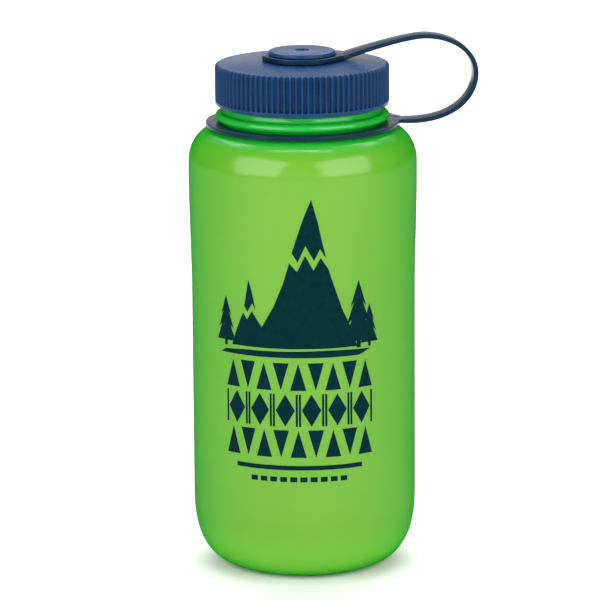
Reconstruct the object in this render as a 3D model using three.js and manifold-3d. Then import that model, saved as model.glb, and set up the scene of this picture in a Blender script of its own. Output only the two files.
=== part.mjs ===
// A one-litre wide-mouth drinking bottle: blow-moulded body, ribbed screw cap and a strap that keeps
// the cap on the bottle. Millimetres, +Z up. The origin is on the bottle's axis, in the plane that the
// bottle stands on. The strap's loop stands out to the right, a little towards the back.
import * as THREE from 'three';
import { mergeVertices } from 'three/addons/utils/BufferGeometryUtils.js';
import Module from 'manifold-3d';

// ---- Driving dimensions ----
const gap = 0.3; // between pieces that touch
const overlap = 0.5; // how far joined shapes reach into each other

// Body
const bodyRadius = 44.4;
const shoulderRadius = 45.25; // the body widens a little towards the shoulder
const wall = 2;
const floorThickness = 3;
const baseCorner = { width: 20, height: 30, power: 2.6 };
const taper = { start: 110, end: 158 };
const shoulderStart = 163;
const shoulderTop = 177;
const shoulderCorner = { width: 12.5, power: 2 };
const insideShoulder = { neckRadius: 28.4, start: 162, top: 175.4 };

// Base: a central pad and a foot ring in one plane, with a shallow groove between them
const padRadius = 9;
const groove = { inner: 10.5, outer: 20, depth: 1.2 };
const footInner = 21.5;

// Neck
const strapSeatRadius = 31.6; // where the strap's lower ring sits
const bead = { radius: 34.4, height: 3.6, middle: 181, roundness: 0.8 };
const lowerNeckRadius = 31.3;
const lowerNeckTop = 184.8;
const neckStep = 0.8; // height of the slope from there to the thread
const rimHeight = 200.3;
const rimChamfer = { outer: 0.6, inner: 0.4 };
const boreRadius = 27.9;

// Screw thread, right-handed, on the neck and inside the cap
const thread = { lead: 4.2, turns: 1.5, root: 30.2, crest: 31.5, start: 190.4, fade: Math.PI / 8 };
const ridge = { rootWidth: 2.1, crestWidth: 1 };
const threadClearance = 0.4;

// Cap
const capRadius = 34.4;
const capBottom = 185.8;
const capTop = 202.7; // of the flat middle, which the stud stands on
const capCrown = { flatRadius: 17, drop: 1.1 }; // the top falls a little towards its edge
const capEdge = { top: 1.4, bottom: 0.4 };
const capPlate = 2.1;
const capLeadIn = 0.6;
const rib = { count: 90, depth: 0.9, bottom: 187.2, crestHalf: 0.15, valleyHalf: 0.2 }; // halves in pitches
const sealLip = { outer: 27.5, thickness: 1.2, length: 3.5, chamfer: 0.5 };
const socket = { radius: 5.3, undercut: 5.9, undercutHeight: 1.9, floor: 199.6 };
const socketBoss = { radius: 8, bottom: 198 };

// Stud
const studHead = { radius: 13.4, edge: 0.8, thickness: 1.5 };
const studCollarRadius = 9;
const studBarb = { leadIn: 0.9, height: 1.2 };
const studDimple = { radius: 2.75, depth: 0.6 };

// Strap
const strapAzimuth = THREE.MathUtils.degToRad(7);
const eyelet = { inner: 9.4, outer: 14.9, thickness: 2, nubReach: 15.7, nubHalfWidth: 3.4 };
const eyeletRoot = { reach: 16.2, halfWidth: 5 };
const band = { width: 7.3, thickness: 2, chamfer: 0.5, steps: 36 };
const neckRing = { inner: 32.3, outer: 38.2, thickness: 1.5 };
const ringLug = { reach: 39.6, innerHalfWidth: 7, outerHalfWidth: 4.6, innerThickness: 1.3, drop: 0.2 };

// Segments around the axis
const bodySegments = 48;
const smallSegments = 36;
const studSegments = 28;

// ---- Heights that follow from them ----
const plateUnderside = capTop - capPlate;
const capEdgeTop = capTop - capCrown.drop;
const eyeletBottom = capTop + gap;
const eyeletTop = eyeletBottom + eyelet.thickness;
const headBottom = eyeletTop + gap;
const headTop = headBottom + studHead.thickness;
const ringBottom = shoulderTop + gap;
const footRadius = bodyRadius - baseCorner.width;

// ---- Materials ----
const greenPlastic = new THREE.MeshStandardMaterial({ color: 0x74be43, roughness: 0.35, metalness: 0 });
const navyPlastic = new THREE.MeshStandardMaterial({ color: 0x1b345d, roughness: 0.5, metalness: 0 });

// ---- Solids ----
const wasm = await Module();
wasm.setup();

// The same surface with shared corners merged, and without the flat triangles that lie on the axis.
function weld(geometry) {
  const bare = geometry.clone();
  bare.deleteAttribute('normal');
  bare.deleteAttribute('uv');
  const merged = mergeVertices(bare, 1e-4);
  const index = [];
  for (let i = 0; i < merged.index.count; i += 3) {
    const corners = [0, 1, 2].map((k) => merged.index.getX(i + k));
    if (new Set(corners).size === 3) index.push(...corners);
  }
  merged.setIndex(index);
  return merged;
}

function solidOf(geometry) {
  const welded = weld(geometry);
  const vertProperties = new Float32Array(welded.attributes.position.array);
  const triVerts = new Uint32Array(welded.index.array);
  return new wasm.Manifold(new wasm.Mesh({ numProp: 3, vertProperties, triVerts }));
}

function geometryOf(solid) {
  const { vertProperties, triVerts } = solid.getMesh();
  const geometry = new THREE.BufferGeometry();
  geometry.setAttribute('position', new THREE.BufferAttribute(vertProperties, 3));
  geometry.setIndex(new THREE.BufferAttribute(triVerts, 1));
  geometry.computeVertexNormals();
  return geometry;
}

// Turns an outline of [radius, height] points around +Z. It runs up the outside, then back inside.
function revolve(outline, segments) {
  const points = outline.map(([radius, height]) => new THREE.Vector2(radius, height));
  return new THREE.LatheGeometry(points, segments).rotateX(Math.PI / 2);
}

// A closed ring, turned from a rectangle.
function tubeOf(inner, outer, bottom, top, segments) {
  const outline = [[inner, bottom], [outer, bottom], [outer, top], [inner, top], [inner, bottom]];
  return revolve(outline, segments);
}

// A quarter of a superellipse, from its side (widest) to its top, or to its bottom if height < 0.
function corner(centreRadius, centreHeight, width, height, power, steps) {
  const points = [];
  for (let i = 0; i <= steps; i += 1) {
    const angle = (Math.PI / 2) * (i / steps);
    const across = width * Math.abs(Math.cos(angle)) ** (2 / power);
    const along = height * Math.sin(angle) ** (2 / power);
    points.push([centreRadius + across, centreHeight + along]);
  }
  return points;
}

// A helical ridge with a trapezoid section, which fades out at both ends. Its sides start at radius
// `foot` and end at radius `crest`.
function threadRidge(foot, crest, startHeight) {
  const sweep = thread.turns * 2 * Math.PI;
  const steps = Math.round(thread.turns * bodySegments);
  const outward = Math.sign(crest - foot);
  const buried = foot - outward * overlap;
  const sunkCrest = foot - (outward * overlap) / 2;
  const box = new THREE.BoxGeometry(1, 1, 1, steps, 1, 1);
  const position = box.attributes.position;
  for (let i = 0; i < position.count; i += 1) {
    const angle = (position.getX(i) + 0.5) * sweep;
    const atCrest = position.getZ(i) > 0 === crest > foot;
    const fromEnd = Math.min(angle, sweep - angle);
    const rise = Math.min(1, fromEnd / thread.fade);
    const crestHere = THREE.MathUtils.lerp(sunkCrest, crest, rise);
    const radius = atCrest ? crestHere : buried;
    const width = atCrest ? ridge.crestWidth : ridge.rootWidth;
    const height = startHeight + (thread.lead * angle) / (2 * Math.PI) + position.getY(i) * width;
    position.setXYZ(i, radius * Math.cos(angle), radius * Math.sin(angle), height);
  }
  return box;
}

// ---- Bottle ----
function bodySide() {
  const steps = 4;
  const points = [];
  for (let i = 0; i <= steps; i += 1) {
    const height = THREE.MathUtils.lerp(taper.start, taper.end, i / steps);
    const ease = THREE.MathUtils.smoothstep(height, taper.start, taper.end);
    points.push([THREE.MathUtils.lerp(bodyRadius, shoulderRadius, ease), height]);
  }
  return points;
}

function beadOutline() {
  const steps = 5;
  const points = [];
  for (let i = 0; i <= steps; i += 1) {
    const angle = Math.PI * (i / steps - 0.5);
    const radius = strapSeatRadius + (bead.radius - strapSeatRadius) * Math.cos(angle) ** bead.roundness;
    points.push([radius, bead.middle + (bead.height / 2) * Math.sin(angle)]);
  }
  return points;
}

function bottleOutline() {
  const { width, height, power } = baseCorner;
  const innerSide = bodyRadius - wall;
  const innerShoulder = shoulderRadius - wall;
  const shoulderHeight = shoulderTop - shoulderStart;
  const shoulderFoot = shoulderRadius - shoulderCorner.width;
  const base = corner(footRadius, height, width, -height, power, 7).reverse();
  const shoulder = corner(
    shoulderFoot, shoulderStart, shoulderCorner.width, shoulderHeight, shoulderCorner.power, 6);
  const { neckRadius, start, top } = insideShoulder;
  const shoulderInside = corner(
    neckRadius, start, innerShoulder - neckRadius, top - start, shoulderCorner.power, 4);
  const baseInside = corner(
    footRadius, height, innerSide - footRadius, floorThickness - height, power, 4);
  return [
    [0, 0],
    [padRadius, 0],
    [groove.inner, groove.depth],
    [groove.outer, groove.depth],
    [footInner, 0],
    ...base,
    ...bodySide(),
    ...shoulder,
    [strapSeatRadius, shoulderTop],
    ...beadOutline(),
    [lowerNeckRadius, bead.middle + bead.height / 2],
    [lowerNeckRadius, lowerNeckTop],
    [thread.root, lowerNeckTop + neckStep],
    [thread.root, rimHeight - rimChamfer.outer],
    [thread.root - rimChamfer.outer, rimHeight],
    [boreRadius + rimChamfer.inner, rimHeight],
    [boreRadius, rimHeight - rimChamfer.inner],
    ...shoulderInside.reverse(),
    [innerShoulder, taper.end],
    [innerSide, taper.start],
    ...baseInside,
    [0, floorThickness],
  ];
}

function makeBottle() {
  const shell = solidOf(revolve(bottleOutline(), bodySegments));
  const screw = solidOf(threadRidge(thread.root, thread.crest, thread.start));
  return geometryOf(shell.add(screw));
}

// ---- Cap ----
function capEnvelope() {
  const { top, bottom } = capEdge;
  const bottomCorner = corner(capRadius - bottom, capBottom + bottom, bottom, -bottom, 2, 2).reverse();
  const topCorner = corner(capRadius - top, capEdgeTop - top, top, top, 2, 4);
  const outline = [[0, capBottom], ...bottomCorner, ...topCorner, [capCrown.flatRadius, capTop], [0, capTop]];
  return revolve(outline, rib.count);
}

// Everything outside the ribs, from the top of the plain band upwards.
function ribGrooves() {
  const outside = new THREE.Shape();
  outside.absarc(0, 0, capRadius + 2, 0, 2 * Math.PI);
  const ribs = new THREE.Path();
  const pitch = (2 * Math.PI) / rib.count;
  // Crests stand just outside the envelope, so that they leave it untouched.
  const crest = capRadius + 0.05;
  const valley = capRadius - rib.depth;
  const corners = [
    [-rib.crestHalf, crest],
    [rib.crestHalf, crest],
    [0.5 - rib.valleyHalf, valley],
    [0.5 + rib.valleyHalf, valley],
  ];
  for (let i = 0; i < rib.count; i += 1) {
    for (const [offset, radius] of corners) {
      const angle = (i + offset) * pitch - Math.PI / 2;
      const [x, y] = [radius * Math.cos(angle), radius * Math.sin(angle)];
      if (i === 0 && offset === -rib.crestHalf) ribs.moveTo(x, y);
      else ribs.lineTo(x, y);
    }
  }
  ribs.closePath();
  outside.holes.push(ribs);
  const depth = capTop - rib.bottom + 1;
  return new THREE.ExtrudeGeometry(outside, { depth, bevelEnabled: false, curveSegments: smallSegments })
    .translate(0, 0, rib.bottom);
}

function capHollow() {
  const radius = thread.crest + threadClearance;
  return revolve([
    [0, capBottom - 1],
    [radius + capLeadIn, capBottom - 1],
    [radius + capLeadIn, capBottom + capLeadIn],
    [radius, capBottom + 2 * capLeadIn],
    [radius, plateUnderside - capLeadIn],
    [radius - capLeadIn, plateUnderside],
    [0, plateUnderside],
  ], bodySegments);
}

function capSealLip() {
  const { outer, chamfer } = sealLip;
  const inner = outer - sealLip.thickness;
  const bottom = plateUnderside - sealLip.length;
  const top = plateUnderside + overlap;
  return revolve([
    [inner, bottom],
    [outer - chamfer, bottom],
    [outer, bottom + chamfer],
    [outer, top],
    [inner, top],
    [inner, bottom],
  ], smallSegments);
}

function capBoss() {
  const { radius, bottom } = socketBoss;
  const top = plateUnderside + overlap;
  return revolve([[0, bottom], [radius, bottom], [radius, top], [0, top]], smallSegments);
}

function capSocket() {
  const { radius, undercut, undercutHeight, floor } = socket;
  const lip = undercut - radius;
  return revolve([
    [0, floor],
    [undercut, floor],
    [undercut, floor + undercutHeight],
    [radius, floor + undercutHeight + lip],
    [radius, capTop + 1],
    [0, capTop + 1],
  ], smallSegments);
}

function makeCap() {
  const innerCrest = thread.root + threadClearance;
  const innerRoot = thread.crest + threadClearance;
  const screw = solidOf(threadRidge(innerRoot, innerCrest, thread.start - thread.lead / 2));
  const outside = solidOf(capEnvelope()).subtract(solidOf(ribGrooves()));
  const shell = outside.subtract(solidOf(capHollow()));
  const fitted = shell.add(screw).add(solidOf(capSealLip())).add(solidOf(capBoss()));
  return geometryOf(fitted.subtract(solidOf(capSocket())));
}

// ---- Stud ----
function makeStud() {
  const stemRadius = socket.radius - gap;
  const barbRadius = socket.undercut - gap;
  const stemBottom = socket.floor + gap;
  const { radius, edge } = studHead;
  const topCorner = corner(radius - edge, headTop - edge, edge, edge, 2, 3);
  return revolve([
    [0, stemBottom],
    [stemRadius - studBarb.leadIn, stemBottom],
    [barbRadius, stemBottom + studBarb.leadIn],
    [barbRadius, stemBottom + studBarb.height],
    [stemRadius, stemBottom + studBarb.height],
    [stemRadius, eyeletBottom],
    [studCollarRadius, eyeletBottom],
    [studCollarRadius, headBottom],
    [radius, headBottom],
    ...topCorner,
    [studDimple.radius, headTop],
    [studDimple.radius - studDimple.depth, headTop - studDimple.depth],
    [0, headTop - studDimple.depth],
  ], studSegments);
}

// ---- Strap, laid along +X and turned to its place as a whole ----
function makeEyelet() {
  const { inner, outer, nubReach, nubHalfWidth, thickness } = eyelet;
  const rootAngle = Math.asin(eyeletRoot.halfWidth / outer);
  const nubAngle = Math.asin(nubHalfWidth / outer);
  const outline = new THREE.Shape();
  outline.absarc(0, 0, outer, rootAngle, Math.PI - nubAngle);
  outline.lineTo(-nubReach, 0);
  outline.absarc(0, 0, outer, Math.PI + nubAngle, 2 * Math.PI - rootAngle);
  outline.lineTo(eyeletRoot.reach, -eyeletRoot.halfWidth);
  outline.lineTo(eyeletRoot.reach, eyeletRoot.halfWidth);
  outline.closePath();
  const hole = new THREE.Path();
  hole.absarc(0, 0, inner, 0, 2 * Math.PI, true);
  outline.holes.push(hole);
  const settings = { depth: thickness, bevelEnabled: false, curveSegments: smallSegments / 2 };
  return new THREE.ExtrudeGeometry(outline, settings).translate(0, 0, eyeletBottom);
}

// The middle line of the band: out from the eyelet, over the top, down the far side and back in.
function bandPath() {
  const at = (reach, height) => new THREE.Vector3(reach, 0, height);
  const rootHeight = (eyeletBottom + eyeletTop) / 2;
  const lugHeight = ringBottom + neckRing.thickness / 2 - ringLug.drop;
  const start = at(eyeletRoot.reach + gap, rootHeight);
  const top = at(48.4, 211.4);
  const farSide = at(69, 196.1);
  const end = at(ringLug.reach + gap, lugHeight);
  const path = new THREE.CurvePath();
  path.add(new THREE.CubicBezierCurve3(start, at(25, 206.8), at(41.5, 211.4), top));
  path.add(new THREE.CubicBezierCurve3(top, at(59.3, 211.4), at(69, 205.2), farSide));
  path.add(new THREE.CubicBezierCurve3(farSide, at(69, 186.3), at(59.6, 176.6), end));
  return path;
}

function makeBand() {
  const { width, thickness, chamfer } = band;
  const [w, t] = [width / 2, thickness / 2];
  const section = new THREE.Shape([
    new THREE.Vector2(-w, -t + chamfer), new THREE.Vector2(-w + chamfer, -t),
    new THREE.Vector2(w - chamfer, -t), new THREE.Vector2(w, -t + chamfer),
    new THREE.Vector2(w, t - chamfer), new THREE.Vector2(w - chamfer, t),
    new THREE.Vector2(-w + chamfer, t), new THREE.Vector2(-w, t - chamfer),
  ]);
  return new THREE.ExtrudeGeometry(section, { steps: band.steps, extrudePath: bandPath() });
}

// The lug narrows outwards from the ring, thickens to the band's thickness and drops a little.
function ringLugBlock() {
  const inner = (neckRing.inner + neckRing.outer) / 2;
  const box = new THREE.BoxGeometry(1, 1, 1);
  const position = box.attributes.position;
  for (let i = 0; i < position.count; i += 1) {
    const outward = position.getX(i) > 0;
    const halfWidth = outward ? ringLug.outerHalfWidth : ringLug.innerHalfWidth;
    const thickness = outward ? band.thickness : ringLug.innerThickness;
    const drop = outward ? ringLug.drop : 0;
    const middle = ringBottom + neckRing.thickness / 2 - drop;
    const x = outward ? ringLug.reach : inner;
    position.setXYZ(i, x, position.getY(i) * 2 * halfWidth, middle + position.getZ(i) * thickness);
  }
  return box;
}

function makeNeckRing() {
  const { inner, outer, thickness } = neckRing;
  const ring = solidOf(tubeOf(inner, outer, ringBottom, ringBottom + thickness, bodySegments));
  return geometryOf(ring.add(solidOf(ringLugBlock())));
}

// ---- Assembly ----
function piece(name, geometry, material) {
  const mesh = new THREE.Mesh(geometry, material);
  mesh.name = name;
  return mesh;
}

const canteen = new THREE.Group();
canteen.add(piece('bottle', makeBottle(), greenPlastic));
canteen.add(piece('cap', makeCap(), navyPlastic));
canteen.add(piece('cap_button', makeStud(), navyPlastic));

const strap = new THREE.Group();
strap.rotation.z = strapAzimuth;
strap.add(piece('strap_eyelet', makeEyelet(), navyPlastic));
strap.add(piece('strap_band', makeBand(), navyPlastic));
strap.add(piece('neck_ring', makeNeckRing(), navyPlastic));
canteen.add(strap);

export default canteen;
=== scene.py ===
"""A one-litre wide-mouth drinking bottle in translucent green plastic, with a navy ribbed screw cap and
a strap that keeps the cap on the bottle. Outlines are in millimetres, and meshes are in metres."""

import math

import bmesh
import bpy
from mathutils import Matrix, Vector


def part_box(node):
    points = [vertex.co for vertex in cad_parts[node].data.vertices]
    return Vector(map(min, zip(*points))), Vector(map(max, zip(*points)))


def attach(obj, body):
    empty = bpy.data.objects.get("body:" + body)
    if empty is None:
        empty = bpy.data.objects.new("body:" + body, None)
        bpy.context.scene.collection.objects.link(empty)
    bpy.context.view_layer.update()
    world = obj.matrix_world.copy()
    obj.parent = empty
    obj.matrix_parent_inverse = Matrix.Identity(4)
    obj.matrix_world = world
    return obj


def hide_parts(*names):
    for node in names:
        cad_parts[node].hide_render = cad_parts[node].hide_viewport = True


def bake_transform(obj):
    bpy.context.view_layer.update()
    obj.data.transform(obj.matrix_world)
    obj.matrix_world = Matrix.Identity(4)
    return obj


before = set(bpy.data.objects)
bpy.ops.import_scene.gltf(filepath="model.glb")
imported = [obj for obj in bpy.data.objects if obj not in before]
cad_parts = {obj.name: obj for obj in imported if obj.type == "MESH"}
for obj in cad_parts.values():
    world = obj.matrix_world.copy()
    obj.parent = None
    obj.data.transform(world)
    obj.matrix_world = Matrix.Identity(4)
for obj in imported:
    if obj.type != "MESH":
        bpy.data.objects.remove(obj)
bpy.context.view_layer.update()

MM = 0.001


# ---- Sizes, from the frame and from the bottle's own dimensions ----
def box_mm(node):
    """A CAD node's lowest and highest corners, in millimetres."""
    low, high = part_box(node)
    return low / MM, high / MM


BOTTLE_HIGH = box_mm("bottle")[1]
CAP_LOW, CAP_HIGH = box_mm("cap")
STUD_LOW, STUD_HIGH = box_mm("cap_button")
EYELET_LOW, EYELET_HIGH = box_mm("strap_eyelet")

# Body
SHOULDER_RADIUS = BOTTLE_HIGH.x
BODY_RADIUS = SHOULDER_RADIUS - 0.85
RIM_HEIGHT = BOTTLE_HIGH.z
SHOULDER_TOP = RIM_HEIGHT - 23.3
SHOULDER_START = SHOULDER_TOP - 14
TAPER_START, TAPER_END = 110, 158
WALL, FLOOR_THICKNESS = 2, 3
INNER_SHOULDER_SHIFT = 0.5
BASE_CORNER = 20, 30, 2.6  # across, up, and how square it is
SHOULDER_CORNER = 12.5, 2  # across, and how square it is
PAD_RADIUS, FOOT_INNER = 9, 21.5
GROOVE_INNER, GROOVE_OUTER, GROOVE_DEPTH = 10.5, 20, 1.2

# Neck
STRAP_SEAT_RADIUS, STRAP_SEAT_HEIGHT = 31.6, 1.8
BEAD_MIDDLE, BEAD_HEIGHT, BEAD_RADIUS, BEAD_ROUNDNESS = SHOULDER_TOP + 4, 3.6, 34.4, 0.8
LOWER_NECK_RADIUS, BORE_RADIUS = 31.3, 27.9
LOWER_NECK_TOP = SHOULDER_TOP + 7.8
NECK_STEP = 0.8

# Screw thread. The cap's is the neck's turned inwards, with a clearance and half a lead away.
THREAD_ROOT, THREAD_CREST = 30.2, 31.5
THREAD_LEAD, THREAD_TURNS = 4.2, 1.5
THREAD_START = SHOULDER_TOP + 13.4
THREAD_CLEARANCE = 0.4
THREAD_FADE = math.pi / 8
RIDGE_ROOT, RIDGE_CREST = 2.1, 1.0

# Cap
CAP_BOTTOM, CAP_TOP, CAP_RADIUS = CAP_LOW.z, CAP_HIGH.z, CAP_HIGH.y
CAP_EDGE_RADIUS, CAP_PLATE = 1.4, 2.1
CAP_CROWN_RADIUS, CAP_CROWN_DROP = 17, 1.1
CAP_EDGE_TOP = CAP_TOP - CAP_CROWN_DROP
CAP_EDGE_SQUARENESS = 2.1
CROWN_STEPS = 32, 30, 27, 24, 21, 18.5, 16.5, 14, 10
CAP_MOUTH_WIDENING = 0.6
RIM_MIDDLE_INSET = 1.5  # from the cap's side to where the inside and outside outlines meet
PLATE_UNDERSIDE = CAP_TOP - CAP_PLATE
RIB_COUNT, RIB_DEPTH, RIB_BOTTOM, RIB_RUN_IN = 90, 1.35, CAP_BOTTOM + 1.4, 0.4
RIB_VALLEY_START = 0.62
SEAL_OUTER, SEAL_INNER, SEAL_LENGTH = 27.5, 26.3, 3.5
BOSS_RADIUS, BOSS_LENGTH = 8, 2.9
SOCKET_RADIUS, SOCKET_UNDERCUT, SOCKET_DEPTH = 5.3, 5.9, 3.1
UNDERCUT_HEIGHT, LIP_HEIGHT = 1.9, 2.3  # above the socket's floor
SOCKET_SURROUND = 7

# Stud
STUD_BOTTOM, STUD_TOP, STUD_RADIUS = STUD_LOW.z, STUD_HIGH.z, STUD_HIGH.x
STEM_RADIUS, BARB_RADIUS, BARB_TIP_RADIUS = 5, 5.6, 4.4
COLLAR_RADIUS = 9
DIMPLE_RADIUS, DIMPLE_DEPTH = 2.9, 0.6

# Strap
STRAP_AZIMUTH = math.radians(7)
EYELET_BOTTOM, EYELET_TOP = EYELET_LOW.z, EYELET_HIGH.z
EYELET_INNER, EYELET_OUTER = 9.4, 14.9
RING_BOTTOM, RING_TOP = SHOULDER_TOP + 0.3, SHOULDER_TOP + 1.8
RING_INNER, RING_OUTER = 32.3, 38.2
BAND_WIDTH, BAND_THICKNESS, BAND_EDGE = 7.3, 1.9, 0.45
STRAP_EDGE = 0.35

# Print
PRINT_CENTRE = math.radians(-93)  # a little to the left of the front
PRINT_PROUD = 0.06  # how far the ink stands out
LAYER_GAP = 0.02  # between layers of ink that overlap


# ---- Camera ----
def make_camera():
    """A long lens in front of the bottle and a little above it."""
    pitch = math.radians(12.8)
    distance = 1.699
    target = Vector((-0.0014, 0, 0.1058))
    roll = Matrix.Rotation(math.radians(-0.38), 4, "Z")
    data = bpy.data.cameras.new("camera")
    data.lens = 255.6
    data.sensor_width = 36
    data.clip_end = 20
    camera = bpy.data.objects.new("camera", data)
    back = Vector((0, -math.cos(pitch), math.sin(pitch)))
    turn = (-back).to_track_quat("-Z", "Y").to_matrix().to_4x4()
    camera.matrix_world = Matrix.Translation(target + back * distance) @ turn @ roll
    bpy.context.scene.collection.objects.link(camera)
    bpy.context.scene.camera = camera


# ---- Outlines ----
def corner(centre_radius, centre_height, across, up, power, steps):
    """A quarter of a superellipse, from its side to its top, or to its bottom if up is negative."""
    points = []
    for i in range(steps + 1):
        angle = math.pi / 2 * i / steps
        radius = centre_radius + across * abs(math.cos(angle)) ** (2 / power)
        height = centre_height + up * math.sin(angle) ** (2 / power)
        points.append((radius, height))
    return points


def rounded(corners, steps=5):
    """An outline through corners given as (radius, height, rounding). If the first or the last corner is
    rounded, its other neighbour is the far end of the list, as in a closed outline."""
    points = []
    for i, (radius, height, rounding) in enumerate(corners):
        here = Vector((radius, height))
        if rounding == 0:
            points.append(tuple(here))
            continue
        to_before = Vector(corners[i - 1][:2]) - here
        to_after = Vector(corners[(i + 1) % len(corners)][:2]) - here
        half_angle = to_before.angle(to_after) / 2
        reach = rounding / math.tan(half_angle)
        reach = min(reach, 0.49 * to_before.length, 0.49 * to_after.length)
        start = here + to_before.normalized() * reach
        end = here + to_after.normalized() * reach
        for k in range(steps + 1):
            t = k / steps
            points.append(tuple(start * (1 - t) ** 2 + here * 2 * t * (1 - t) + end * t**2))
    return points


def smoothstep(value, low, high):
    """Grows from 0 at low to 1 at high, without a kink at either end."""
    t = min(1, max(0, (value - low) / (high - low)))
    return t * t * (3 - 2 * t)


def body_radius(height):
    """The outside radius of the body between its base corner and its shoulder."""
    ease = smoothstep(height, TAPER_START, TAPER_END)
    return BODY_RADIUS + (SHOULDER_RADIUS - BODY_RADIUS) * ease


def spread(low, high, step):
    """Values from low to high, about one step apart."""
    count = max(1, round((high - low) / step))
    return [low + (high - low) * i / count for i in range(count + 1)]


# ---- Meshes ----
def new_object(name, mesh, material):
    """A smooth-shaded object in the scene."""
    mesh.materials.append(material)
    mesh.shade_smooth()
    obj = bpy.data.objects.new(name, mesh)
    bpy.context.scene.collection.objects.link(obj)
    return obj


def turned(name, outline, segments, material, shape=None):
    """An outline of (radius, height) points turned around +Z.
    shape(radius, height, angle, i) gives the radius of outline point i at an angle."""
    mesh = bpy.data.meshes.new(name)
    work = bmesh.new()
    angles = [2 * math.pi * s / segments for s in range(segments)]
    rows = []
    for i, (radius, height) in enumerate(outline):
        if radius < 1e-6:
            rows.append([work.verts.new((0, 0, height * MM))] * segments)
            continue
        row = []
        for angle in angles:
            r = shape(radius, height, angle, i) if shape else radius
            row.append(work.verts.new((r * MM * math.cos(angle), r * MM * math.sin(angle), height * MM)))
        rows.append(row)
    closed = outline[0][0] > 1e-6 and outline[-1][0] > 1e-6
    pairs = list(zip(rows, rows[1:])) + ([(rows[-1], rows[0])] if closed else [])
    for low, high in pairs:
        for s in range(segments):
            t = (s + 1) % segments
            loop = [low[s], low[t], high[t], high[s]]
            work.faces.new(list(dict.fromkeys(loop)))
    bmesh.ops.recalc_face_normals(work, faces=work.faces)
    work.to_mesh(mesh)
    work.free()
    return new_object(name, mesh, material)


def plate(name, outline, holes, bottom, top, edge, material):
    """A flat plate with rounded edges, from an outline and holes given as points in millimetres. It is
    turned to the side that the strap is on."""
    curve = bpy.data.curves.new(name, "CURVE")
    curve.dimensions = "2D"
    curve.fill_mode = "BOTH"
    curve.bevel_depth = edge * MM
    curve.bevel_resolution = 4
    curve.offset = -edge * MM
    curve.extrude = ((top - bottom) / 2 - edge) * MM
    for points in [outline, *holes]:
        spline = curve.splines.new("POLY")
        spline.points.add(len(points) - 1)
        for point, (x, y) in zip(spline.points, points):
            point.co = (x * MM, y * MM, 0, 1)
        spline.use_cyclic_u = True
    source = bpy.data.objects.new(name + "_curve", curve)
    bpy.context.scene.collection.objects.link(source)
    mesh = bpy.data.meshes.new_from_object(source)
    bpy.data.objects.remove(source)
    place = Matrix.Rotation(STRAP_AZIMUTH, 4, "Z") @ Matrix.Translation((0, 0, (bottom + top) / 2 * MM))
    mesh.transform(place)
    work = bmesh.new()
    work.from_mesh(mesh)
    bmesh.ops.remove_doubles(work, verts=work.verts, dist=1e-6)
    work.to_mesh(mesh)
    work.free()
    return new_object(name, mesh, material)


def circle(radius, start=0, end=2 * math.pi, steps=144, centre=(0, 0)):
    """Points on an arc; a whole circle doesn't repeat its first point."""
    whole = abs(end - start) > 2 * math.pi - 1e-6
    count = steps if whole else steps + 1
    points = []
    for i in range(count):
        angle = start + (end - start) * i / steps
        points.append((centre[0] + radius * math.cos(angle), centre[1] + radius * math.sin(angle)))
    return points


# ---- Materials ----
def new_material(name):
    """A material with its nodes, its links and its main shader."""
    material = bpy.data.materials.new(name)
    material.use_nodes = True
    nodes = material.node_tree.nodes
    return material, nodes, material.node_tree.links, nodes["Principled BSDF"]


def ramp(nodes, stops):
    """A colour ramp with (position, colour) stops; a colour is a grey value or red, green, blue."""
    node = nodes.new("ShaderNodeValToRGB")
    elements = node.color_ramp.elements
    while len(elements) < len(stops):
        elements.new(0.5)
    for element, (position, colour) in zip(elements, stops):
        red, green, blue = (colour,) * 3 if isinstance(colour, (int, float)) else colour
        element.position = position
        element.color = (red, green, blue, 1)
    return node


def noise(nodes, links, scale, detail=4, stretch=(1, 1, 1)):
    """Noise in the object's own space, with its scale in cycles per metre."""
    place = nodes.new("ShaderNodeTexCoord")
    mapping = nodes.new("ShaderNodeMapping")
    mapping.inputs["Scale"].default_value = stretch
    texture = nodes.new("ShaderNodeTexNoise")
    texture.inputs["Scale"].default_value = scale
    texture.inputs["Detail"].default_value = detail
    links.new(place.outputs["Object"], mapping.inputs["Vector"])
    links.new(mapping.outputs["Vector"], texture.inputs["Vector"])
    return texture.outputs["Fac"]


def bump(nodes, links, height, strength, distance, under=None):
    """Fine relief from a texture, on top of another relief if one is given."""
    node = nodes.new("ShaderNodeBump")
    node.inputs["Strength"].default_value = strength
    node.inputs["Distance"].default_value = distance
    links.new(height, node.inputs["Height"])
    if under is not None:
        links.new(under, node.inputs["Normal"])
    return node.outputs["Normal"]


def vary(nodes, links, source, socket, stops):
    """Drives a shader socket from a texture through a colour ramp."""
    node = ramp(nodes, stops)
    links.new(source, node.inputs["Fac"])
    links.new(node.outputs["Color"], socket)


def between(nodes, links, start, end):
    """A share that goes from 0 at one height on the object to 1 at another, in millimetres."""
    place = nodes.new("ShaderNodeTexCoord")
    split = nodes.new("ShaderNodeSeparateXYZ")
    fade = nodes.new("ShaderNodeMapRange")
    fade.interpolation_type = "SMOOTHSTEP"
    fade.inputs["From Min"].default_value = start * MM
    fade.inputs["From Max"].default_value = end * MM
    links.new(place.outputs["Object"], split.inputs["Vector"])
    links.new(split.outputs["Z"], fade.inputs["Value"])
    return fade.outputs["Result"]


def crevices(nodes, links, reach):
    """A share that is 0 in the open and rises to 1 in crevices, where painted shade goes. Only the
    object's own surface counts, as far as reach, in millimetres."""
    crevice = nodes.new("ShaderNodeAmbientOcclusion")
    crevice.only_local = True
    crevice.inputs["Distance"].default_value = reach * MM
    fade = ramp(nodes, [(0.3, 1), (0.85, 0)])
    links.new(crevice.outputs["AO"], fade.inputs["Fac"])
    return fade.outputs["Color"]


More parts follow.
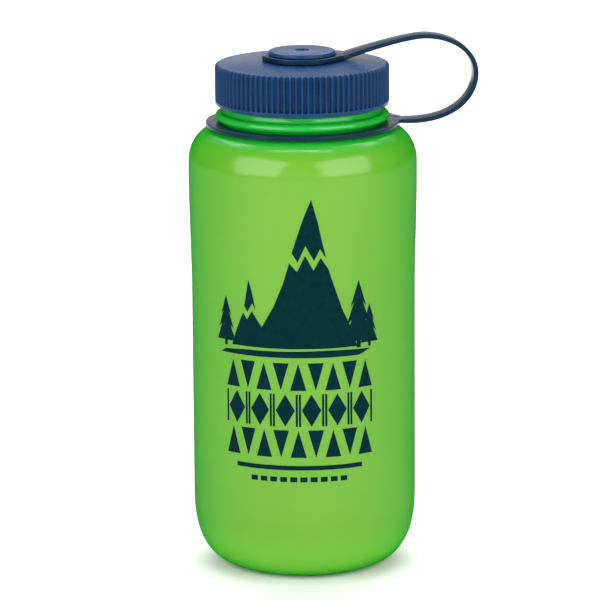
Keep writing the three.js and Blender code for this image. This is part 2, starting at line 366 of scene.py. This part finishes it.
def shade(nodes, links, socket, colour, share):
    """Blends the colour that drives a socket towards another one, by a share from 0 to 1."""
    blend = nodes.new("ShaderNodeMix")
    blend.data_type = "RGBA"
    plain, other = (s for s in blend.inputs if s.type == "RGBA")
    other.default_value = (*colour, 1)
    links.new(share, blend.inputs["Factor"])
    links.new(socket.links[0].from_socket, plain)
    links.new(next(s for s in blend.outputs if s.type == "RGBA"), socket)


def mixed(nodes, links, main, other, share):
    """A mix of two shaders with a fixed share of the other one."""
    node = nodes.new("ShaderNodeMixShader")
    node.inputs["Fac"].default_value = share
    links.new(main, node.inputs[1])
    links.new(other, node.inputs[2])
    return node.outputs["Shader"]


def green_plastic():
    """Dyed translucent polyethylene. The milky body lies under a clear green depth, which the coat's
    tint stands for: it deepens where the wall is seen at a slant. Light shines through, and the skin is
    glossy. Painted shade turns the neck and the top of the shoulder, under the cap and the neck ring, a
    deeper green, and painted light from the floor turns the foot a paler one."""
    material, nodes, links, shader = new_material("bottle_green")
    flow = noise(nodes, links, 35, 3, (1, 1, 0.4))
    vary(nodes, links, flow, shader.inputs["Base Color"],
         [(0.3, (0.315, 0.46, 0.034)), (0.7, (0.345, 0.49, 0.040))])
    # painted shade: the neck and the top of the shoulder turn a deeper green, for the shade under the cap
    # and the neck ring
    neck_painted_shade = between(nodes, links, SHOULDER_TOP - 6, SHOULDER_TOP)
    shade(nodes, links, shader.inputs["Base Color"], (0.035, 0.55, 0.105), neck_painted_shade)
    # painted light: the foot turns a paler green, for light that reaches it from the floor
    foot_painted_light = between(nodes, links, 24, 4)
    shade(nodes, links, shader.inputs["Base Color"], (0.50, 0.68, 0.055), foot_painted_light)
    ripple = bump(nodes, links, noise(nodes, links, 60, 2), 0.12, 0.0004)
    grain = bump(nodes, links, noise(nodes, links, 2500, 2), 0.08, 0.00005, ripple)
    links.new(grain, shader.inputs["Normal"])
    shader.inputs["Roughness"].default_value = 0.5
    shader.inputs["Specular IOR Level"].default_value = 0
    shader.inputs["Coat Weight"].default_value = 1
    shader.inputs["Coat Roughness"].default_value = 0.3
    shader.inputs["Coat IOR"].default_value = 1.01
    shader.inputs["Coat Tint"].default_value = (0.52, 0.87, 0.6, 1)
    glow = nodes.new("ShaderNodeBsdfTranslucent")
    glow.inputs["Color"].default_value = (0.005, 0.86, 0.16, 1)
    links.new(grain, glow.inputs["Normal"])
    gloss = nodes.new("ShaderNodeBsdfGlossy")
    gloss.inputs["Color"].default_value = (1, 1, 0.9, 1)
    links.new(grain, gloss.inputs["Normal"])
    scuffs = noise(nodes, links, 260, 6, (1, 1, 0.5))
    vary(nodes, links, scuffs, gloss.inputs["Roughness"], [(0.35, 0.16), (0.75, 0.23)])
    body = mixed(nodes, links, shader.outputs["BSDF"], glow.outputs["BSDF"], 0.42)
    surface = mixed(nodes, links, body, gloss.outputs["BSDF"], 0.036)
    links.new(surface, nodes["Material Output"].inputs["Surface"])
    return material


def navy_plastic(name, dark, light, roughness, grain_strength):
    """Moulded polypropylene with a fine spark-eroded grain. Painted shade darkens its colour in
    crevices, such as the valleys between the ribs.
    """
    material, nodes, links, shader = new_material(name)
    vary(nodes, links, noise(nodes, links, 90, 4), shader.inputs["Base Color"],
         [(0.3, dark), (0.7, light)])
    # painted shade: the colour darkens in crevices, such as the rib valleys, where shade falls
    painted_crevice_shade = [0.35 * part for part in dark]
    shade(nodes, links, shader.inputs["Base Color"], painted_crevice_shade, crevices(nodes, links, 2.5))
    vary(nodes, links, noise(nodes, links, 700, 5), shader.inputs["Roughness"],
         [(0.3, roughness - 0.03), (0.75, roughness + 0.05)])
    soft = bump(nodes, links, noise(nodes, links, 150, 3), 0.05, 0.0003)
    grain = bump(nodes, links, noise(nodes, links, 3500, 3), grain_strength, 0.00006, soft)
    links.new(grain, shader.inputs["Normal"])
    shader.inputs["IOR"].default_value = 1.49
    shader.inputs["Specular IOR Level"].default_value = 0.12
    return material


def print_ink():
    """Dark green screen-printing ink, a little uneven and duller than the bottle."""
    material, nodes, links, shader = new_material("print_ink")
    vary(nodes, links, noise(nodes, links, 400, 5), shader.inputs["Base Color"],
         [(0.3, (0.0004, 0.014, 0.017)), (0.75, (0.0008, 0.020, 0.022))])
    vary(nodes, links, noise(nodes, links, 900, 4), shader.inputs["Roughness"],
         [(0.3, 0.42), (0.7, 0.55)])
    links.new(bump(nodes, links, noise(nodes, links, 1800, 3), 0.2, 0.00004), shader.inputs["Normal"])
    shader.inputs["Specular IOR Level"].default_value = 0.02
    return material


def floor_paper():
    """Matt white paper, very slightly uneven."""
    material, nodes, links, shader = new_material("floor_paper")
    vary(nodes, links, noise(nodes, links, 8, 3), shader.inputs["Base Color"], [(0.3, 0.76), (0.7, 0.78)])
    vary(nodes, links, noise(nodes, links, 300, 4), shader.inputs["Roughness"], [(0.3, 0.8), (0.7, 0.9)])
    return material


# ---- Screw thread ----
def ridge_height(height, angle, start):
    """How far up its flank a thread ridge stands at a point, from 0 to 1."""
    sweep = THREAD_TURNS * 2 * math.pi
    best = 0
    turn = angle % (2 * math.pi)
    while turn <= sweep:
        offset = abs(height - start - THREAD_LEAD * turn / (2 * math.pi))
        flank = 1 - smoothstep(offset, RIDGE_CREST / 2, RIDGE_ROOT / 2)
        ends = min(1, min(turn, sweep - turn) / THREAD_FADE)
        best = max(best, flank * ends)
        turn += 2 * math.pi
    return best


# ---- Bottle ----
def bead_outline():
    """The transfer bead's rounded side, from its bottom to its top."""
    steps = 14
    points = []
    for i in range(steps + 1):
        angle = math.pi * (i / steps - 0.5)
        bulge = (BEAD_RADIUS - STRAP_SEAT_RADIUS) * abs(math.cos(angle)) ** BEAD_ROUNDNESS
        points.append((STRAP_SEAT_RADIUS + bulge, BEAD_MIDDLE + BEAD_HEIGHT / 2 * math.sin(angle)))
    return points


def body_outside():
    """From the middle of the base up to the top of the shoulder."""
    across, up, power = BASE_CORNER
    foot = BODY_RADIUS - across
    shoulder_across, shoulder_power = SHOULDER_CORNER
    shoulder_foot = SHOULDER_RADIUS - shoulder_across
    underside = rounded([(0, 0, 0), (PAD_RADIUS, 0, 1), (GROOVE_INNER, GROOVE_DEPTH, 1),
                         (GROOVE_OUTER, GROOVE_DEPTH, 1), (FOOT_INNER, 0, 0.8), (foot, 0, 0)])
    base = corner(foot, up, across, -up, power, 26)[::-1]
    side = [(body_radius(z), z) for z in spread(up, SHOULDER_START, 4)]
    shoulder = corner(shoulder_foot, SHOULDER_START, shoulder_across, SHOULDER_TOP - SHOULDER_START,
                      shoulder_power, 22)
    return [*underside, *base[1:], *side[1:], *shoulder[1:]]


def neck_outside():
    """From the strap's seat up over the bead and the thread, and over the rim into the mouth."""
    seat = rounded([(SHOULDER_RADIUS - SHOULDER_CORNER[0], SHOULDER_TOP, 0),
                    (STRAP_SEAT_RADIUS, SHOULDER_TOP, 0.7),
                    (STRAP_SEAT_RADIUS, SHOULDER_TOP + STRAP_SEAT_HEIGHT, 0)])
    bead_top = BEAD_MIDDLE + BEAD_HEIGHT / 2
    neck_start = rounded([(LOWER_NECK_RADIUS, bead_top + 0.1, 0),
                          (LOWER_NECK_RADIUS, LOWER_NECK_TOP, 0.6),
                          (THREAD_ROOT, LOWER_NECK_TOP + NECK_STEP, 0.6),
                          (THREAD_ROOT, LOWER_NECK_TOP + 2, 0)])
    threads = [(THREAD_ROOT, z) for z in spread(LOWER_NECK_TOP + 2.3, RIM_HEIGHT - 1.2, 0.3)]
    rim = rounded([(THREAD_ROOT, RIM_HEIGHT - 1, 0), (THREAD_ROOT, RIM_HEIGHT, 0.8),
                   (BORE_RADIUS, RIM_HEIGHT, 0.8), (BORE_RADIUS, RIM_HEIGHT - 3, 0)])
    return [*seat[1:], *bead_outline(), *neck_start, *threads, *rim]


def bottle_inside():
    """From under the neck down to the middle of the floor."""
    across, up, power = BASE_CORNER
    width = SHOULDER_RADIUS - WALL - BORE_RADIUS - INNER_SHOULDER_SHIFT
    height = SHOULDER_TOP - SHOULDER_START - WALL / 2 + 0.4
    shoulder = corner(BORE_RADIUS + INNER_SHOULDER_SHIFT, SHOULDER_START - WALL / 2, width, height,
                      SHOULDER_CORNER[1], 16)[::-1]
    side = [(body_radius(z) - WALL, z) for z in spread(up, SHOULDER_START - 2, 8)][::-1]
    base = corner(BODY_RADIUS - across, up, across - WALL, FLOOR_THICKNESS - up, power, 14)
    return [*shoulder, *side[:-1], *base, (0, FLOOR_THICKNESS)]


def make_bottle(material):
    """The blow-moulded bottle, one hollow piece with the thread on its neck."""
    outline = [*body_outside(), *neck_outside(), *bottle_inside()]
    inside_from = outline.index(max(outline, key=lambda point: point[1]))

    def threaded(radius, height, angle, i):
        if i > inside_from or height < LOWER_NECK_TOP + 1:
            return radius
        return radius + (THREAD_CREST - THREAD_ROOT) * ridge_height(height, angle, THREAD_START)

    bottle = turned("bottle_body", outline, 240, material, threaded)
    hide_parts("bottle")
    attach(bottle, "bottle")
    return bottle


# ---- Cap ----
def cap_outside():
    """From the rim up the ribbed side and over the edge to the socket. The heights are close together
    where the ribs begin."""
    skirt = rounded([(CAP_RADIUS - RIM_MIDDLE_INSET, CAP_BOTTOM, 0), (CAP_RADIUS, CAP_BOTTOM, 0.35),
                     (CAP_RADIUS, RIB_BOTTOM - 0.1, 0)])
    ledge = [(CAP_RADIUS, z) for z in spread(RIB_BOTTOM, RIB_BOTTOM + 0.5, 0.1)]
    ribs = [(CAP_RADIUS, z) for z in spread(RIB_BOTTOM + 2, CAP_EDGE_TOP - CAP_EDGE_RADIUS - 0.3, 3)]
    edge = corner(CAP_RADIUS - CAP_EDGE_RADIUS, CAP_EDGE_TOP - CAP_EDGE_RADIUS, CAP_EDGE_RADIUS,
                  CAP_EDGE_RADIUS, CAP_EDGE_SQUARENESS, 16)
    return [*skirt, *ledge, *ribs, *edge, *crown()]


def crown():
    """The cap's top, from its edge to its flat middle. It is the upper half of a smooth step, so the step
    is made twice as deep and twice as wide."""
    points = []
    edge = CAP_RADIUS - CAP_EDGE_RADIUS
    for radius in CROWN_STEPS:
        fall = smoothstep(radius, CAP_CROWN_RADIUS - 2, 2 * edge - CAP_CROWN_RADIUS)
        points.append((radius, CAP_TOP - 2 * CAP_CROWN_DROP * fall))
    return points


def cap_inside():
    """From the middle of the boss under the socket, around the plug seal and down the thread to the
    rim."""
    root = THREAD_CREST + THREAD_CLEARANCE
    seal_bottom, boss_bottom = PLATE_UNDERSIDE - SEAL_LENGTH, PLATE_UNDERSIDE - BOSS_LENGTH
    under = rounded([(0, boss_bottom, 0), (BOSS_RADIUS, boss_bottom, 0.4),
                     (BOSS_RADIUS, PLATE_UNDERSIDE, 0.3),
                     (SEAL_INNER, PLATE_UNDERSIDE, 0.4), (SEAL_INNER, seal_bottom, 0.3),
                     (SEAL_OUTER, seal_bottom, 0.5), (SEAL_OUTER, PLATE_UNDERSIDE, 0.3),
                     (root, PLATE_UNDERSIDE, 0.5), (root, PLATE_UNDERSIDE - 1, 0)])
    threads = [(root, z) for z in spread(CAP_BOTTOM + 1.2, PLATE_UNDERSIDE - 1.2, 0.35)][::-1]
    lead_in = rounded([(root, CAP_BOTTOM + 1, 0), (root + CAP_MOUTH_WIDENING, CAP_BOTTOM, 0.3),
                       (CAP_RADIUS - RIM_MIDDLE_INSET, CAP_BOTTOM, 0)])
    return [*under, *threads, *lead_in[:-1]]


def stud_socket():
    """The blind hole in the cap's top that the stud snaps into, from the flat top around it inwards."""
    floor = CAP_TOP - SOCKET_DEPTH
    return rounded([(SOCKET_SURROUND, CAP_TOP, 0), (SOCKET_RADIUS, CAP_TOP, 0.2),
                    (SOCKET_RADIUS, floor + LIP_HEIGHT, 0.2),
                    (SOCKET_UNDERCUT, floor + UNDERCUT_HEIGHT, 0.2), (SOCKET_UNDERCUT, floor, 0.3),
                    (0, floor, 0)])


def rib_shape(angle):
    """0 on a rib's crest and 1 in the valley between two ribs. It is a wave that is cut off flat above
    RIB_VALLEY_START, so the crests are narrow and the valleys are wide."""
    phase = (angle + math.pi / 2) * RIB_COUNT
    wave = (1 - math.cos(phase)) / 2
    return smoothstep(wave, 0, RIB_VALLEY_START)


def make_cap(material):
    """The closure, with its thread inside and its ribs outside."""
    inside, outside, socket = cap_inside(), cap_outside(), stud_socket()
    outline = [*inside, *outside, *socket]
    first, last = len(inside), len(inside) + len(outside)

    def shaped(radius, height, angle, i):
        if i < first:
            past_seal = THREAD_ROOT + THREAD_CLEARANCE < radius < CAP_RADIUS - 2
            in_thread = past_seal and height < PLATE_UNDERSIDE - 1
            ridge = ridge_height(height, angle, THREAD_START - THREAD_LEAD / 2) if in_thread else 0
            return radius - (THREAD_CREST - THREAD_ROOT) * ridge
        if i >= last or height < RIB_BOTTOM:
            return radius
        run_in = smoothstep(height, RIB_BOTTOM, RIB_BOTTOM + RIB_RUN_IN)
        return min(radius, CAP_RADIUS - RIB_DEPTH * rib_shape(angle) * run_in)

    cap = turned("cap_shell", outline, RIB_COUNT * 8, material, shaped)
    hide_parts("cap")
    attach(cap, "cap")
    return cap


def make_stud(material):
    """A flat round head with a gate dimple, on a collar for the strap and a barbed stem."""
    collar_bottom, head_bottom = CAP_TOP + 0.3, EYELET_TOP + 0.2
    stem = [(0, STUD_BOTTOM, 0), (BARB_TIP_RADIUS, STUD_BOTTOM, 0.2),
            (BARB_RADIUS, STUD_BOTTOM + 0.9, 0.2), (BARB_RADIUS, STUD_BOTTOM + 1.2, 0.1),
            (STEM_RADIUS, STUD_BOTTOM + 1.3, 0.1)]
    collar = [(STEM_RADIUS, collar_bottom, 0.1), (COLLAR_RADIUS, collar_bottom, 0.2),
              (COLLAR_RADIUS, head_bottom, 0.1)]
    head = [(STUD_RADIUS, head_bottom, 0.2), (STUD_RADIUS, head_bottom + 0.5, 0.3),
            (STUD_RADIUS - 0.4, STUD_TOP - 0.2, 0.4), (STUD_RADIUS - 0.9, STUD_TOP, 0.35)]
    dimple = [(DIMPLE_RADIUS, STUD_TOP, 0.12), (DIMPLE_RADIUS - 0.3, STUD_TOP - DIMPLE_DEPTH, 0.15),
              (1.2, STUD_TOP - DIMPLE_DEPTH, 0.1), (1, STUD_TOP - 0.45, 0.1), (0, STUD_TOP - 0.45, 0)]
    outline = rounded([*stem, *collar, *head, *dimple])
    stud = turned("stud_head", outline, 160, material)
    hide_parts("cap_button")
    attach(stud, "stud")
    return stud


# ---- Strap ----
def strap_point(reach, height):
    """A point in the strap's own upright plane, in millimetres."""
    return Vector((reach * math.cos(STRAP_AZIMUTH), reach * math.sin(STRAP_AZIMUTH), height))


def bezier(a, b, c, d, steps):
    """Points on a curve from a to d that b and c pull towards them."""
    points = []
    for i in range(steps + 1):
        t = i / steps
        s = 1 - t
        points.append(a * s**3 + b * 3 * s**2 * t + c * 3 * s * t**2 + d * t**3)
    return points


def band_route():
    """The band's middle line: out from the eyelet, over the top, down the far side and back to the
    neck ring. Both ends reach into the ring that they belong to."""
    root = (EYELET_BOTTOM + EYELET_TOP) / 2
    ring = (RING_BOTTOM + RING_TOP) / 2
    start, top = strap_point(16.5, root), strap_point(48.4, 211.4)
    far, end = strap_point(69, 196.1), strap_point(39.9, ring - 0.2)
    out = bezier(start, strap_point(25, 206.8), strap_point(41.5, 211.4), top, 30)
    down = bezier(top, strap_point(59.3, 211.4), strap_point(69, 205.2), far, 30)
    back = bezier(far, strap_point(69, 186.3), strap_point(59.6, 176.6), end, 40)
    join_in = [strap_point(reach, root) for reach in (13.6, 14.5, 15.5)]
    join_out = [strap_point(39, ring - 0.1), strap_point(38.2, ring)]
    return [*join_in, *out, *down[1:], *back[1:], *join_out]


def band_section(width, thickness, edge):
    """Corners of a flat section with rounded edges, as (across, through)."""
    corners = [(-width / 2, -thickness / 2, edge), (width / 2, -thickness / 2, edge),
               (width / 2, thickness / 2, edge), (-width / 2, thickness / 2, edge)]
    return rounded(corners, 4)


def band_width(from_start, from_end):
    """The width at two distances along the band. It flares in two steps towards each end."""
    root = 2.6 * (1 - smoothstep(from_start, 0, 30)) + 1.4 * (1 - smoothstep(from_start, 1, 5))
    tail = 0.8 * (1 - smoothstep(from_end, 4, 24)) + 1.6 * (1 - smoothstep(from_end, 0, 5))
    return BAND_WIDTH + root + tail


def make_band(material):
    """The looped band, which thins where it enters the neck ring."""
    route = band_route()
    across = Vector((-math.sin(STRAP_AZIMUTH), math.cos(STRAP_AZIMUTH), 0))
    lengths = [0]
    for a, b in zip(route, route[1:]):
        lengths.append(lengths[-1] + (b - a).length)
    work = bmesh.new()
    rings = []
    for i, point in enumerate(route):
        ahead = route[min(i + 1, len(route) - 1)] - route[max(i - 1, 0)]
        through = ahead.normalized().cross(across)
        from_start, from_end = lengths[i], lengths[-1] - lengths[i]
        thickness = BAND_THICKNESS - 0.4 * (1 - smoothstep(from_end, 0, 6))
        section = band_section(band_width(from_start, from_end), thickness, BAND_EDGE)
        rings.append([work.verts.new((point + across * a + through * t) * MM) for a, t in section])
    count = len(rings[0])
    for low, high in zip(rings, rings[1:]):
        for s in range(count):
            work.faces.new([low[s], low[(s + 1) % count], high[(s + 1) % count], high[s]])
    work.faces.new(rings[0])
    work.faces.new(rings[-1][::-1])
    bmesh.ops.recalc_face_normals(work, faces=work.faces)
    mesh = bpy.data.meshes.new("strap_band_form")
    work.to_mesh(mesh)
    work.free()
    band = new_object("strap_band_form", mesh, material)
    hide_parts("strap_band")
    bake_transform(band)
    return band


def make_eyelet(material):
    """The strap's upper ring, with a small pull nub on the far side from the band."""
    root_half, nub_half = 7.4, 4.6
    root_angle, nub_angle = math.asin(root_half / EYELET_OUTER), math.asin(nub_half / EYELET_OUTER)
    left = circle(EYELET_OUTER, root_angle, math.pi - nub_angle, 72)
    nub = [(-15.7, 2.4), (-15.7, -2.4)]
    right = circle(EYELET_OUTER, math.pi + nub_angle, 2 * math.pi - root_angle, 72)
    root = [(14.8, -6), (16.2, -5.2), (16.2, 5.2), (14.8, 6)]
    outline, hole = [*left, *nub, *right, *root], circle(EYELET_INNER)[::-1]
    eyelet = plate("strap_eyelet_form", outline, [hole], EYELET_BOTTOM, EYELET_TOP, STRAP_EDGE, material)
    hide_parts("strap_eyelet")
    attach(eyelet, "strap")
    return eyelet


def make_neck_ring(material):
    """The strap's lower ring, with the lug that the band comes out of and a pinhole beside the lug."""
    lug_start = math.radians(13)
    lug = [(38.4, -6.2), (39.6, -4.7), (39.6, 4.7), (38.4, 6.2)]
    outline = [*circle(RING_OUTER, lug_start, 2 * math.pi - lug_start, 200), *lug]
    pinhole = circle(0.7, steps=20, centre=(37, 0.4))
    holes = [circle(RING_INNER)[::-1], pinhole[::-1]]
    ring = plate("neck_ring_form", outline, holes, RING_BOTTOM, RING_TOP, STRAP_EDGE, material)
    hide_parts("neck_ring")
    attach(ring, "neck_ring")
    return ring


# ---- Print: a generic mountain scene above rows of plain geometric shapes ----
def wrapped(name, shapes, material, lift=0):
    """Lays flat shapes on the bottle. Each is an outline of (along the surface, height) in millimetres.
    The shapes are cut into small facets that follow the curve. lift keeps a layer clear of the one
    under it."""
    work = bmesh.new()
    for outline in shapes:
        work.faces.new([work.verts.new((x, 0, z)) for x, z in outline])
    work.normal_update()
    bmesh.ops.triangulate(work, faces=work.faces)
    cuts = [((x, 0, 0), (1, 0, 0)) for x in spread(-60, 60, 1.5)]
    cuts += [((0, 0, z), (0, 0, 1)) for z in spread(40, 160, 6)]
    for place, direction in cuts:
        geometry = work.verts[:] + work.edges[:] + work.faces[:]
        bmesh.ops.bisect_plane(work, geom=geometry, plane_co=place, plane_no=direction)
    bmesh.ops.dissolve_degenerate(work, edges=work.edges, dist=0.001)
    for vert in work.verts:
        x, _, z = vert.co
        angle = PRINT_CENTRE + x / BODY_RADIUS
        radius = body_radius(z) + PRINT_PROUD + lift
        vert.co = Vector((radius * math.cos(angle), radius * math.sin(angle), z)) * MM
    for face in work.faces:
        face.normal_update()
        if face.normal.dot(face.calc_center_median() * Vector((1, 1, 0))) < 0:
            face.normal_flip()
    mesh = bpy.data.meshes.new(name)
    work.to_mesh(mesh)
    work.free()
    piece = new_object(name, mesh, material)
    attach(piece, "bottle")
    return piece


def fir_tree(x, foot, height):
    """A fir tree of three tiers on a short trunk."""
    half, trunk = height * 0.24, height * 0.035
    z = [foot + height * share for share in (0.1, 0.42, 0.34, 0.68, 0.6, 1)]
    right = [(x + trunk, foot), (x + trunk, z[0]), (x + half, z[0]), (x + half * 0.45, z[1]),
             (x + half * 0.8, z[2]), (x + half * 0.3, z[3]), (x + half * 0.55, z[4]), (x, z[5])]
    left = [(2 * x - a, b) for a, b in right[:-1]][::-1]
    return [*right, *left]


def mountain_scene():
    """Two steep peaks, each with a zigzag snow line across it, on a rocky foot."""
    main = [(-20, 96.2), (-13.5, 106), (-9.5, 113), (-5.6, 122.5), (-3.2, 130.5), (-0.2, 127), (3, 133.5),
            (6.2, 127.5), (9, 132.5), (12, 128), (14, 122), (17.5, 112), (21, 104.5), (24, 96.2)]
    main_top = [(-2.2, 134.5), (0.1, 130.8), (3.1, 137.4), (6.4, 131.4), (8.8, 136), (11.2, 132.2),
                (9.6, 138.5), (8.2, 145.5), (5.4, 155.7), (2.8, 149.5), (0.2, 142)]
    second = [(-28, 96.2), (-25.5, 103), (-22.6, 109.5), (-20.8, 107), (-18.6, 110.5), (-16.6, 107.4),
              (-14.5, 104.5), (-20, 96.2)]
    second_top = [(-22, 112.2), (-20.6, 110), (-18.5, 113.6), (-17, 111), (-18.6, 118.4), (-20, 123)]
    foot = [(-34, 92.6), (25, 92.6), (30, 94.8), (12, 95.4), (-22, 94.9), (-31, 94.2)]
    return [main, main_top, second, second_top, foot]


def trees():
    """One tree at the left and a pair at the right, on the foot of the mountains."""
    return [fir_tree(x, 95.6, height) for x, height in ((-31, 20), (24.6, 27), (29.6, 17))]


def triangle_row(low, high, half_width, count):
    """Triangles that point up and down in turn."""
    shapes = []
    pitch = 2 * half_width / count
    for i in range(count):
        middle = -half_width + pitch * (i + 0.5)
        half = pitch * 0.46
        tip, foot = (high, low) if i % 2 == 0 else (low, high)
        shapes.append([(middle - half, foot), (middle + half, foot), (middle, tip)])
    return shapes


def bar(left, right, low, high):
    """A rectangle."""
    return [(left, low), (right, low), (right, high), (left, high)]


def diamond_row(low, high, half_width, count):
    """Diamonds with a short bar on each side of every one."""
    shapes = []
    pitch = 2 * half_width / count
    middle_height = (low + high) / 2
    for i in range(count):
        x = -half_width + pitch * (i + 0.5)
        half = pitch * 0.37
        shapes.append([(x - half, middle_height), (x, low), (x + half, middle_height), (x, high)])
        shapes.append(bar(x - pitch * 0.48, x - pitch * 0.40, low, high))
        shapes.append(bar(x + pitch * 0.40, x + pitch * 0.48, low, high))
    return shapes


def dash_row(low, high, half_width, count):
    """Short level dashes."""
    pitch = 2 * half_width / count
    starts = [-half_width + pitch * i for i in range(count)]
    return [bar(x + pitch * 0.15, x + pitch * 0.85, low, high) for x in starts]


def make_print(material):
    """The mountains and trees, three rows of shapes, a rule and a row of dashes, from top to bottom."""
    wrapped("print_mountains", mountain_scene(), material)
    for i, tree in enumerate(trees(), 1):
        wrapped(f"print_tree_{i}", [tree], material, LAYER_GAP * i)
    wrapped("print_band_top", triangle_row(79.5, 90.5, 31, 9), material)
    wrapped("print_band_middle", diamond_row(65, 78, 31, 6), material)
    wrapped("print_band_bottom", triangle_row(52.5, 63.5, 31, 9), material)
    wrapped("print_rule", [bar(-26, 26, 47.4, 49.2)], material)
    wrapped("print_dashes", dash_row(42.6, 44.6, 20, 10), material)


# ---- Studio ----
def make_floor():
    """A wide, flat sheet of paper. half is half of its side, in metres."""
    half = 6
    corners = [(-half, -half, 0), (half, -half, 0), (half, half, 0), (-half, half, 0)]
    mesh = bpy.data.meshes.new("floor")
    mesh.from_pydata(corners, [], [(0, 1, 2, 3)])
    floor = new_object("floor", mesh, floor_paper())


def softbox(name, azimuth, elevation, distance, width, height, power, down=False):
    """A rectangular lamp that faces the middle of the bottle, or straight down. Azimuth 0 is in front and
    90 is to the right. Lengths are in metres and power is in watts."""
    middle = Vector((0, 0, 0.11))
    a, e = math.radians(azimuth), math.radians(elevation)
    away = Vector((math.sin(a) * math.cos(e), -math.cos(a) * math.cos(e), math.sin(e)))
    data = bpy.data.lights.new(name, "AREA")
    data.shape = "RECTANGLE"
    data.size, data.size_y = width, height
    data.energy = power
    lamp = bpy.data.objects.new(name, data)
    facing = Vector((0, 0, 1)) if down else away
    turn = facing.to_track_quat("Z", "Y").to_matrix().to_4x4()
    lamp.matrix_world = Matrix.Translation(middle + away * distance) @ turn
    bpy.context.scene.collection.objects.link(lamp)


def make_lights():
    """Two large lamps in front, one high behind that lights the green through, a narrow one overhead, a
    dim one low behind, one that lights the paper behind the bottle, and a wide card low in front."""
    softbox("left_softbox", -48, 25, 1.2, 1.1, 1.0, 13.8)
    softbox("right_softbox", 46, 25, 1.2, 1.15, 1.0, 14.2)
    softbox("back_softbox", 180, 55, 1.5, 2.2, 1.4, 12)
    softbox("top_softbox", 0, 84, 1.2, 0.8, 0.14, 2.4)
    softbox("horizon_softbox", 180, 9, 2.6, 2.0, 0.45, 1.6)
    softbox("backdrop_softbox", 180, 45, 1.9, 2.0, 1.6, 40, True)
    softbox("front_card", 0, 9, 2.6, 4.4, 0.9, 9)


def make_world():
    """Dim white surroundings, with colours shown as they are."""
    world = bpy.data.worlds.new("studio")
    world.use_nodes = True
    background = world.node_tree.nodes["Background"]
    background.inputs["Color"].default_value = (1, 1, 1, 1)
    background.inputs["Strength"].default_value = 0.3
    bpy.context.scene.world = world
    bpy.context.scene.view_settings.view_transform = "Standard"


# ---- Build ----
make_camera()
make_floor()
make_lights()
make_world()
green = green_plastic()
cap_navy = navy_plastic("cap_navy", (0.0044, 0.034, 0.102), (0.0057, 0.040, 0.119), 0.24, 0.03)
strap_navy = navy_plastic("strap_navy", (0.0020, 0.014, 0.034), (0.0031, 0.018, 0.044), 0.22, 0.03)
make_bottle(green)
make_cap(cap_navy)
make_stud(cap_navy)
make_eyelet(strap_navy)
make_band(strap_navy)
make_neck_ring(strap_navy)
make_print(print_ink())
